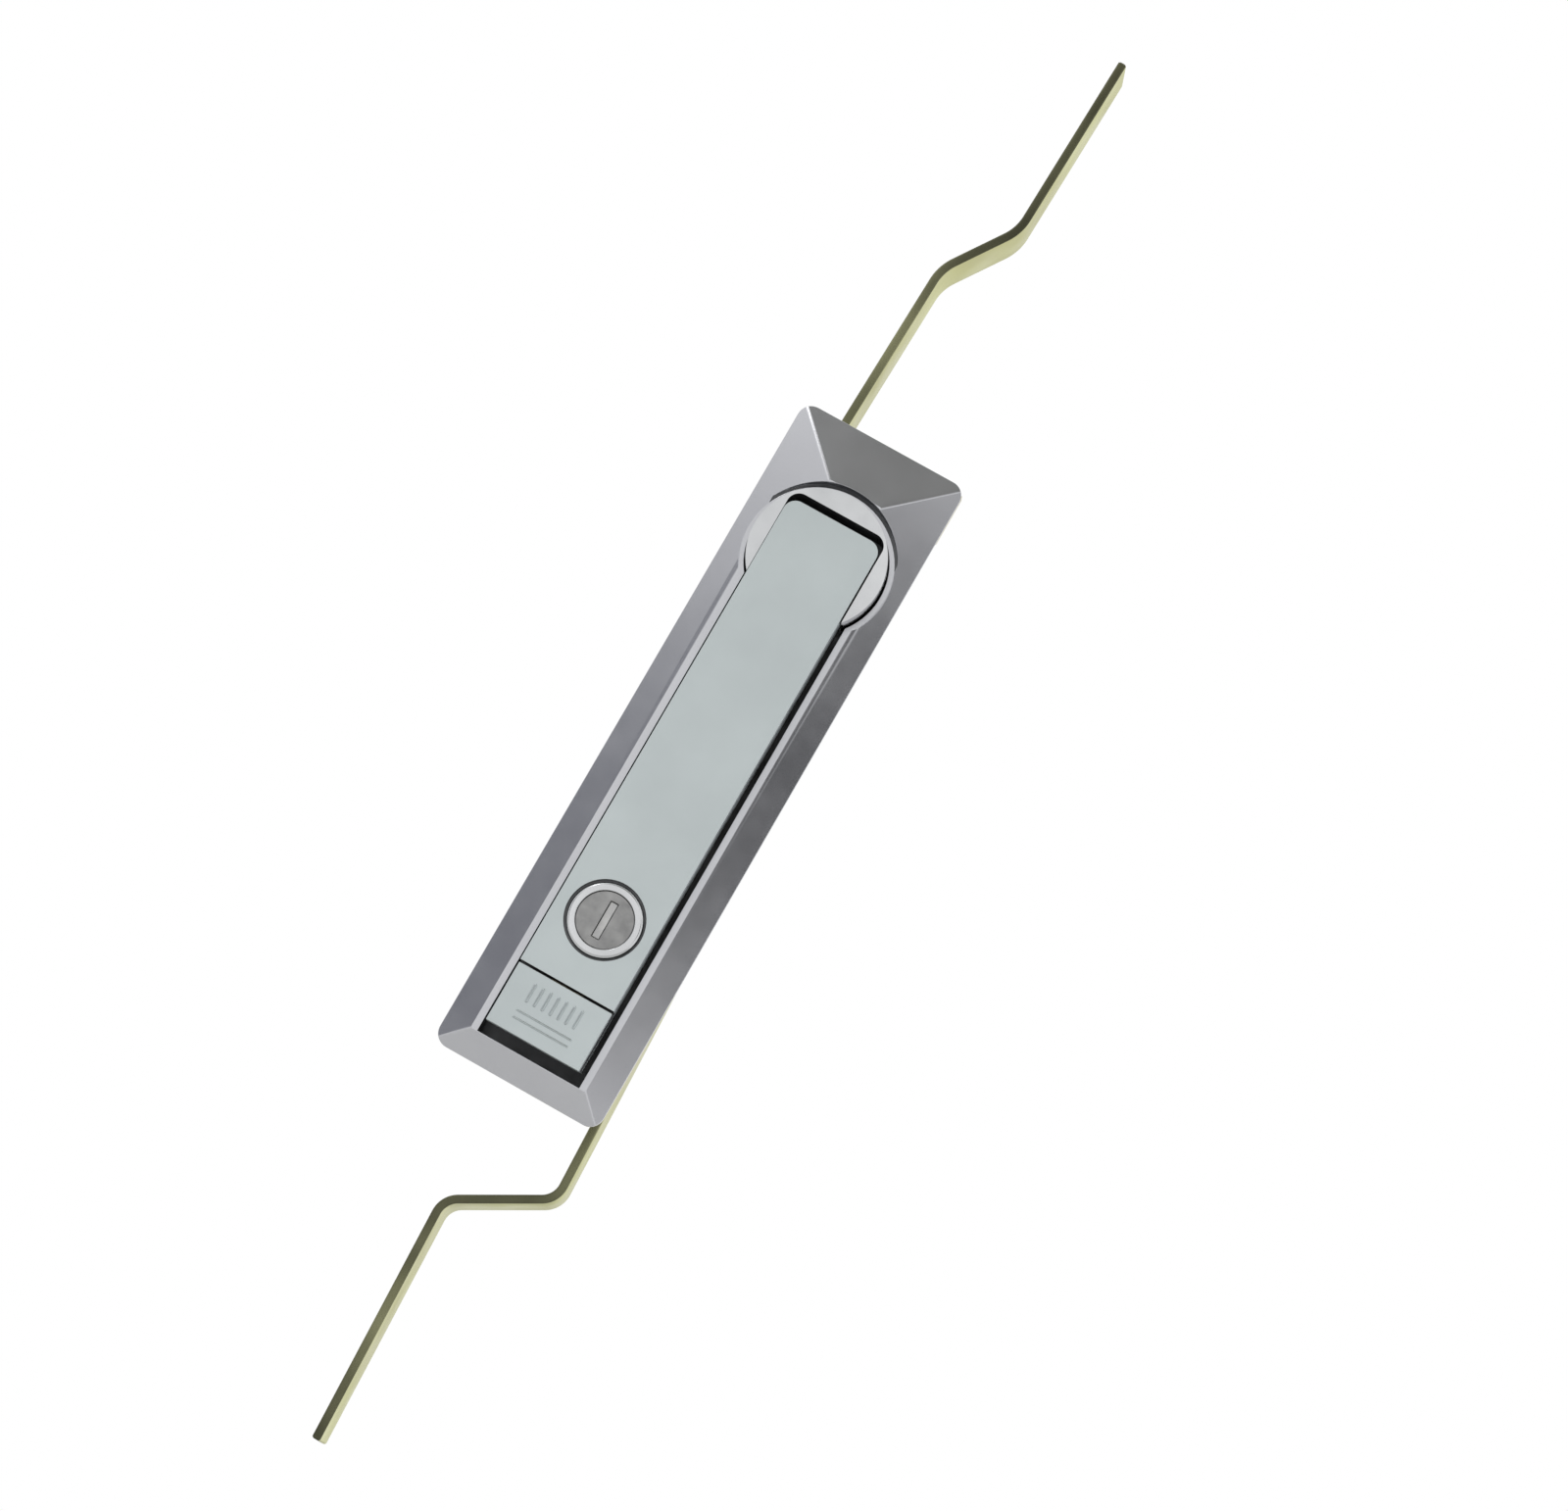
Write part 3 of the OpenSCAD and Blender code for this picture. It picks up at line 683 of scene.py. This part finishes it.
@dataclass
class HandleGroup:
    """The handle with its cover, latch bar, stud and button.

    Attributes:
        top: Height of the handle's face.
        deck_z: Height of the deck under the button.
        button_z: Underside of the button's plate.
        seam_y: End of the handle above the button.
        groove: Middle and radius of the groove round the cylinder.
        rib_xs: Places of the grip ribs across the button.
        rib_y: Middle of the ribs, and their length.
        rib: Width and height of a rib.
        line_ys: Places of the two thin lines.
        line_len: Length of the lines.
        line: Width and height of a line.
        post_xs: Places of the button's posts, with the springs round them.
        post_y: Place of the posts up the lock.
        stroke: Travel of the button; not used.
        wire: Radius of the springs' wire.
        coil_r: Mean radius of the springs.
        coils: Turns of each spring.
        screws: The four cover screws.
    """

    top: float = 11.6
    deck_z: float = 6.5
    button_z: float = 9.0
    seam_y: float = -111.7
    groove: tuple[float, float] = (-95.0, 9.2)
    rib_xs: tuple[float, ...] = (-6.0, -4.0, -2.0, 0.0, 2.0, 4.0, 6.0)
    rib_y: tuple[float, float] = (-117.2, 4.0)
    rib: tuple[float, float] = (0.75, 0.28)
    line_ys: tuple[float, float] = (-121.9, -123.6)
    line_len: float = 13.6
    line: tuple[float, float] = (0.5, 0.2)
    post_xs: tuple[float, float] = (-7.5, 7.5)
    post_y: float = -119.0
    stroke: float = 1.6
    wire: float = 0.13
    coil_r: float = 2.2
    coils: float = 2.5
    screws: TurnedScrews = field(default_factory=lambda: TurnedScrews(
        "cover_screws", tuple((x, y, 9.0) for x in (-7.2, 7.2) for y in (-24.0, -106.0)),
        seat=4.7, head_r=2.0, head_h=0.35, shank_r=0.95, hex_r=0.75, hex_depth=0.25,
        pitch=0.4, thread=0.2, knurl=0.0, knurls=12, soft=0.08))

    def handle_inner(self, centres: np.ndarray, normals: np.ndarray) -> np.ndarray:
        """Pick the groove round the cylinder, the seam's wall and the deck, which are painted dark as
        painted shade.

        Args:
            centres: Face centres, n by 3.
            normals: Face normals, n by 3.

        Returns:
            True for each such face.
        """
        x, y, z = centres.T
        groove = (np.hypot(x, y - self.groove[0]) < self.groove[1] + SLACK) & (z < self.top - SLACK)
        seam = (normals[:, 1] < -FACING) & (np.abs(y - self.seam_y) < SLACK)
        deck = (y < self.seam_y + SLACK) & (np.abs(z - self.deck_z) < SLACK)
        return groove | seam | deck

    def button_inner(self, centres: np.ndarray, normals: np.ndarray) -> np.ndarray:
        """Pick the button's wall in the seam and its underside, which are painted dark as painted shade.

        Args:
            centres: Face centres, n by 3.
            normals: Face normals, n by 3.

        Returns:
            True for each such face.
        """
        return (normals[:, 1] > FACING) | (centres[:, 2] < self.button_z + SLACK)

    def domes(self, spots: np.ndarray, along: np.ndarray, length: np.ndarray,
              width: float, height: float) -> tuple[np.ndarray, np.ndarray]:
        """Long low domes: a stadium rim that draws in to its spine by cos(f) and rises by sin(f).

        Each dome starts a little below the button's face and stops just short of its spine.

        Args:
            spots: Middle of each dome, n by 2.
            along: Unit direction of each dome, n by 2.
            length: Length of each dome's spine, n long.
            width: Width of a dome.
            height: Height of a dome.

        Returns:
            The points, in face-frame millimetres, and the quads.
        """
        columns, rows, sunk, short = 24, 6, 0.05, 0.98
        turn = whole_turn(columns, 0.5)
        rise = np.linspace(0.0, math.pi / 2.0 * short, rows)
        ends = np.where(np.cos(turn) > 0.0, 0.5, -0.5)
        cross = np.stack([-along[:, 1], along[:, 0]], axis=-1)
        draw = width / 2.0 * np.cos(rise)
        u = ends[None, None, :] * length[:, None, None] + draw[None, :, None] * np.cos(turn)
        v = np.broadcast_to(draw[None, :, None] * np.sin(turn), u.shape)
        flat = (spots[:, None, None, :] + u[..., None] * along[:, None, None, :]
                + v[..., None] * cross[:, None, None, :])
        z = np.broadcast_to(self.top - sunk + (height + sunk) * np.sin(rise)[None, :, None], u.shape)
        points = np.concatenate([flat, z[..., None]], axis=-1)
        one = grid_faces(rows, columns)
        first = np.arange(len(spots)) * rows * columns
        return points, (one[None] + first[:, None, None]).reshape(-1, 4)

    def grips(self) -> bpy.types.Object:
        """Build the button's grip ribs and its two thin lines.

        Returns:
            One piece that rides with the button.
        """
        ribs = np.array([(x, self.rib_y[0]) for x in self.rib_xs])
        lines = np.array([(0.0, y) for y in self.line_ys])
        up = np.tile((0.0, 1.0), (len(ribs), 1))
        across = np.tile((1.0, 0.0), (len(lines), 1))
        rib_points, rib_faces = self.domes(ribs, up, np.full(len(ribs), self.rib_y[1]), *self.rib)
        line_points, line_faces = self.domes(lines, across, np.full(len(lines), self.line_len), *self.line)
        points = np.concatenate([rib_points.reshape(-1, 3), line_points.reshape(-1, 3)])
        faces = np.concatenate([rib_faces, line_faces + rib_points.size // 3])
        made = mesh_piece("button_grips", to_row(points), faces.tolist(), [Look.SATIN])
        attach(made, "button")
        LOG.info("%s: %d ribs and lines", made.name, len(ribs) + len(lines))
        return made

    def springs(self) -> bpy.types.Object:
        """Build the two coil springs: a round wire about a helix of even pitch.

        Returns:
            One piece that rides with the handle.
        """
        steps, columns = 160, 10
        share = np.linspace(0.0, 1.0, steps)
        angle = share * self.coils * 2.0 * math.pi
        outward = np.stack([np.cos(angle), np.sin(angle), np.zeros(steps)], axis=-1)
        height = self.deck_z + self.wire + share * (self.button_z - self.deck_z - 2.0 * self.wire)
        turn = -whole_turn(columns)
        ring = self.wire * np.stack([np.cos(turn), np.sin(turn)], axis=-1)
        up = np.tile((0.0, 0.0, 1.0), (steps, 1))
        coil = sweep(outward * self.coil_r + up * height[:, None], outward, up, ring, np.zeros(steps))
        centres = np.array([(x, self.post_y, 0.0) for x in self.post_xs])
        points = (coil[None] + centres[:, None, None, :]).reshape(-1, 3)
        faces: list[list[int]] = []
        for i in range(len(centres)):
            faces += tube_faces(steps, columns, i * steps * columns)
        made = mesh_piece("button_springs", to_row(points), faces, [Look.STEEL])
        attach(made, "handle")
        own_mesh(made)
        LOG.info("%s: %d coils", made.name, len(centres))
        return made

    def build(self) -> None:
        """Build the group's pieces."""
        SoftPiece("handle", Look.SATIN, edge=0.32, segments=3, picks=self.handle_inner).build()
        SoftPiece("handle_cover", Look.STEEL, edge=0.1).build()
        self.screws.build()
        SoftPiece("push_button", Look.SATIN, edge=0.32, segments=3, picks=self.button_inner).build()
        SoftPiece("latch_bar", Look.PLATE, edge=0.15).build()
        SoftPiece("latch_stud", Look.STEEL, edge=0.15).build()
        self.grips()
        self.springs()


@dataclass
class CylinderGroup:
    """The key cylinder: barrel, clip, plug, shutter and cam.

    Attributes:
        barrel_edge: Width of the barrel's broken edges.
        plug_edge: Width of the plug's broken edges.
    """

    barrel_edge: float = 0.2
    plug_edge: float = 0.22

    def build(self) -> None:
        """Build the group's pieces."""
        SoftPiece("cylinder_barrel", Look.BRIGHT, edge=self.barrel_edge, segments=3).build()
        SoftPiece("barrel_clip", Look.STEEL, edge=0.1).build()
        SoftPiece("cylinder_plug", Look.PLUG, edge=self.plug_edge, segments=3).build()
        SoftPiece("dust_shutter", Look.SHUTTER, edge=0.15).build()
        SoftPiece("lock_cam", Look.PLATE, edge=0.15).build()


@dataclass
class DriveGroup:
    """The turntable, its hinge pin and the crank behind.

    Attributes:
        slot_half: Half the width of the slot between the cheeks.
        back_y: The slot's back wall.
        floor_z: The slot's floor.
        cheek_z: Height of the cheeks.
        table_r: Radius of the turntable.
        wall: Width at the turntable's rim that keeps its own tone, outside the painted shade.
        screw: The crank's screw.
    """

    slot_half: float = 12.2
    back_y: float = 11.2
    floor_z: float = 1.5
    cheek_z: float = 10.0
    table_r: float = 16.0
    wall: float = 0.3
    screw: TurnedScrews = field(default_factory=lambda: TurnedScrews(
        "crank_screw", ((0.0, 0.0, -9.2),), seat=-18.2, head_r=4.0, head_h=3.5, shank_r=2.45))

    def in_slot(self, centres: np.ndarray, normals: np.ndarray) -> np.ndarray:
        """Pick the faces inside the slot between the cheeks, which are painted dark as painted shade.

        Args:
            centres: Face centres, n by 3.
            normals: Face normals, n by 3; not used.

        Returns:
            True for each such face.
        """
        x, y, z = centres.T
        inside = (np.abs(x) < self.slot_half + SLACK) & (y < self.back_y + SLACK)
        level = (z > self.floor_z - SLACK) & (z < self.cheek_z - SLACK)
        return inside & level & (np.hypot(x, y) < self.table_r - self.wall)

    def build(self) -> None:
        """Build the group's pieces."""
        SoftPiece("turntable", Look.BRIGHT, edge=0.3, segments=3, picks=self.in_slot).build()
        SoftPiece("hinge_pin", Look.STEEL, edge=0.2).build()
        SoftPiece("crank", Look.PLATE, edge=0.35, segments=3).build()
        SoftPiece("crank_pins", Look.STEEL, edge=0.35, segments=3).build()
        SoftPiece("crank_washer", Look.STEEL, edge=0.15).build()
        self.screw.build()
        SoftPiece("pin_clips", Look.STEEL, edge=0.12).build()


@dataclass
class FlatRod:
    """A flat bar on edge, rolled into an eye round its crank pin and jogged once.

    Attributes:
        node: CAD node and body that it stands for.
        pin: Centre of its eye.
        turn: Turn of its own axes in degrees.
        jog: Where the jog starts and ends along the bar.
        out: Offset of the outer stretch from the eye.
        length: Length from the eye's centre.
        wide: Width of the bar, front to back.
        thick: Thickness of the bar.
        middle_z: Depth of the bar's middle behind the panel.
        eye_r: Mean radius of the eye.
        roll: Angle in degrees that the eye is rolled through.
        bend_r: Mean radius of the bends.
        corner: Radius of the bar's long corners.
    """

    node: str
    pin: tuple[float, float]
    turn: float
    jog: tuple[float, float]
    out: float
    length: float
    wide: float = 16.0
    thick: float = 2.0
    middle_z: float = -26.0
    eye_r: float = 4.05
    roll: float = 305.0
    bend_r: float = 5.5
    corner: float = 0.35

    def path(self) -> np.ndarray:
        """Trace the centre line: round the eye, up the bar, through both bends and on to the tip.

        Returns:
            Points in the rod's own plane, n by 2, from the eye's lip to the tip.
        """
        eye_steps, bar_steps, cross_steps, tip_steps = 72, 24, 8, 20
        angle = np.radians(np.linspace(180.0 + self.roll, 180.0, eye_steps))
        eye = self.eye_r * np.stack([np.cos(angle), np.sin(angle)], axis=-1)
        foot = np.array([-self.eye_r, 0.0])
        low = np.array([-self.eye_r, self.jog[0]])
        high = np.array([self.out, self.jog[1]])
        tip = np.array([self.out, self.length])
        first = bend(foot, low, high, self.bend_r)
        second = bend(low, high, tip, self.bend_r)
        bar = foot + (first[0] - foot) * np.linspace(0.0, 1.0, bar_steps)[1:-1, None]
        cross = first[-1] + (second[0] - first[-1]) * np.linspace(0.0, 1.0, cross_steps)[1:-1, None]
        near_tip = 1.0 - self.corner / (self.length - self.jog[1])
        even_share = 0.98
        shares = np.concatenate([np.linspace(0.0, even_share, tip_steps)[1:], [near_tip, 1.0]])
        last = second[-1] + (tip - second[-1]) * shares[:, None]
        return np.concatenate([eye, bar, first, cross, second, last])

    def build(self) -> bpy.types.Object:
        """Sweep a round-cornered bar section along the centre line and close both ends.

        Returns:
            The rod, riding with its own body.
        """
        flat = self.path()
        along = np.gradient(flat, axis=0)
        along /= np.linalg.norm(along, axis=1, keepdims=True)
        side = np.stack([-along[:, 1], along[:, 0]], axis=-1)
        angle = math.radians(self.turn)
        spin = np.array([[math.cos(angle), math.sin(angle)], [-math.sin(angle), math.cos(angle)]])
        flat = flat @ spin + np.array(self.pin)
        side = side @ spin
        count = len(flat)
        path = np.column_stack([flat, np.full(count, self.middle_z)])
        aside = np.column_stack([side, np.zeros(count)])
        rise = np.tile((0.0, 0.0, 1.0), (count, 1))
        inset = np.zeros(count)
        inset[[0, -1]] = self.corner
        outline = rounded_outline(self.thick, self.wide, self.corner)
        points = sweep(path, aside, rise, outline, inset)
        columns = len(outline)
        faces = tube_faces(count, columns)
        # The bar's narrow edges and both ends get a much darker copy of the bar's tone, which is painted
        # shade.
        middle = (outline[:, 1] + np.roll(outline[:, 1], -1)) / 2.0
        edge = np.abs(middle) > self.wide / 2.0 - self.corner
        slots = np.concatenate([np.tile(edge, count - 1), [True, True]])
        made = mesh_piece("swept_" + self.node, to_row(points), faces, [Look.BAR, Look.EDGE_SHADE], slots)
        stand_for(made, self.node)
        LOG.info("%s: %d rings", made.name, count)
        return made


@dataclass
class RodGroup:
    """Both rods.

    Attributes:
        upper: The rod that goes up.
        lower: The rod that goes down.
    """

    upper: FlatRod = field(default_factory=lambda: FlatRod(
        "upper_rod", pin=(-9.6, 9.6), turn=-1.6, jog=(69.8, 87.1), out=6.8, length=134.5, bend_r=12.0))
    lower: FlatRod = field(default_factory=lambda: FlatRod(
        "lower_rod", pin=(9.6, -9.6), turn=182.2, jog=(142.5, 154.2), out=18.6, length=214.6))

    def build(self) -> None:
        """Build the rods."""
        self.upper.build()
        self.lower.build()


@dataclass(frozen=True)
class Card:
    """A round card that the metal mirrors; grey in the middle and white at its rim.

    Attributes:
        name: Name of the card.
        centre: Its middle in row-frame metres.
        radius: Its radius.
        grey: Its colour in the middle.
        core: Share of the radius that is plain grey.
        corners: Corners of the disc.
    """

    name: str
    centre: Triple
    radius: float
    grey: Colour
    core: float
    corners: int = 48

    def build(self) -> bpy.types.Object:
        """Make the disc, facing the lock, with its glow by distance from its middle.

        Returns:
            The card, seen only in reflections.
        """
        centre = np.array(self.centre)
        facing = -centre / np.linalg.norm(centre)
        across = np.cross(facing, (0.0, 0.0, 1.0))
        across /= np.linalg.norm(across)
        up = np.cross(across, facing)
        turn = whole_turn(self.corners)
        points = centre + self.radius * (np.cos(turn)[:, None] * across + np.sin(turn)[:, None] * up)
        mesh = bpy.data.meshes.new(self.name)
        mesh.from_pydata(points.tolist(), [], [list(range(self.corners))])
        made = linked(self.name, mesh)
        paint = bpy.data.materials.new(self.name)
        paint.use_nodes = True
        g = Graph(paint.node_tree)
        place = g.add("TexCoord").outputs["Object"]
        far = g.add("VectorMath", {0: place, 1: self.centre}, operation="DISTANCE")
        share = g.add("MapRange", {
            "Value": far.outputs["Value"], "From Min": self.core * self.radius, "From Max": self.radius,
        }, interpolation_type="SMOOTHSTEP")
        tone = g.blend(share.outputs["Result"], self.grey, WHITE)
        glow = g.add("Emission", {"Color": tone, "Strength": 1.0})
        g.add("OutputMaterial", {"Surface": glow.outputs["Emission"]})
        mesh.materials.append(paint)
        made.visible_camera = False
        made.visible_diffuse = False
        made.visible_shadow = False
        LOG.info("card %s", self.name)
        return made


@dataclass
class Studio:
    """Camera, light, floor and the cards round the lock.

    Attributes:
        place: The camera's place.
        right: The picture's right in the row frame.
        up: The picture's up.
        back: From the lock to the camera.
        lens: Focal length in millimetres.
        sensor: Width of the sensor in millimetres.
        floor_z: Height of the floor.
        floor_r: Radius of the floor.
        floor_corners: Corners of the floor.
        ambient: Strength of the sky on matt surfaces.
        lamp_place: Place of the lamp, which shines at the lock's axis.
        lamp_size: Width of the lamp.
        lamp_power: Power of the lamp in watts.
        cards: What the bevels mirror.
    """

    place: Triple = (0.12298, -1.16922, -0.22904)
    right: Triple = (0.86929, 0.00087, 0.49431)
    up: Triple = (-0.48591, -0.18205, 0.85484)
    back: Triple = (0.09074, -0.98329, -0.15783)
    lens: float = 121.5
    sensor: float = 36.0
    floor_z: float = -0.3
    floor_r: float = 0.75
    floor_corners: int = 96
    ambient: float = 0.75
    lamp_place: Triple = (-0.7, -0.8, 0.9)
    lamp_size: float = 0.6
    lamp_power: float = 4.0
    cards: tuple[Card, ...] = (
        Card("card_top", (-0.06, -0.43, 0.47), radius=0.4, grey=(0.25, 0.25, 0.235), core=0.6),
        Card("card_right", (0.273, -0.449, 0.033), radius=0.17, grey=(0.01, 0.01, 0.014), core=0.3),
        Card("card_left", (-0.35, -0.4, -0.05), radius=0.22, grey=(0.2, 0.205, 0.235), core=0.3),
    )

    def camera(self) -> None:
        """Set the camera that was fitted to the photo."""
        data = bpy.data.cameras.new("photo_camera")
        data.lens = self.lens
        data.sensor_width = self.sensor
        data.sensor_fit = "HORIZONTAL"
        made = linked("photo_camera", data)
        axes = Matrix((self.right, self.up, self.back)).transposed().to_4x4()
        made.matrix_world = Matrix.Translation(Vector(self.place)) @ axes
        bpy.context.scene.camera = made

    def sky(self) -> None:
        """Light matt surfaces evenly; the camera and mirrored rays see plain white."""
        world = bpy.data.worlds.new("white_room")
        world.use_nodes = True
        bpy.context.scene.world = world
        g = Graph(world.node_tree)
        rays = g.add("LightPath")
        seen = g.add("Math", {0: rays.outputs["Is Camera Ray"], 1: rays.outputs["Is Glossy Ray"]},
                     operation="MAXIMUM")
        shown = g.add("Math", {0: seen.outputs[0], 1: rays.outputs["Is Transmission Ray"]},
                      operation="MAXIMUM")
        soft = g.add("Background", {"Color": (*WHITE, 1.0), "Strength": self.ambient})
        white = g.add("Background", {"Color": (*WHITE, 1.0), "Strength": 1.0})
        both = g.add("MixShader", {0: shown.outputs[0], 1: soft.outputs[0], 2: white.outputs[0]})
        g.add("OutputWorld", {"Surface": both.outputs[0]})

    def lamp(self) -> None:
        """Hang one wide soft lamp above the left shoulder of the camera."""
        data = bpy.data.lights.new("soft_lamp", "AREA")
        data.shape = "DISK"
        data.size = self.lamp_size
        data.energy = self.lamp_power
        made = linked("soft_lamp", data)
        made.location = self.lamp_place
        made.rotation_mode = "QUATERNION"
        made.rotation_quaternion = (-Vector(self.lamp_place)).to_track_quat("-Z", "Y")

    def floor(self) -> None:
        """Lay a round pale floor below the lower rod."""
        turn = whole_turn(self.floor_corners)
        rim = np.stack([np.cos(turn), np.sin(turn)], axis=-1) * self.floor_r
        points = np.column_stack([rim, np.full(self.floor_corners, self.floor_z)])
        made = mesh_piece("pale_floor", points, [list(range(self.floor_corners))], [Look.FLOOR])

    def build(self) -> None:
        """Set the whole studio."""
        self.camera()
        self.sky()
        self.lamp()
        self.floor()
        for card in self.cards:
            card.build()
        bpy.context.scene.view_settings.view_transform = "Standard"


def main() -> None:
    """Build the lock's looks, group by group, and the studio round them."""
    logging.basicConfig(level=logging.INFO, format="%(name)s %(message)s")
    for group in (BezelGroup(), HandleGroup(), CylinderGroup(), DriveGroup(), RodGroup(), Studio()):
        LOG.info("building %s", type(group).__name__)
        group.build()


if __name__ == "__main__":
    main()
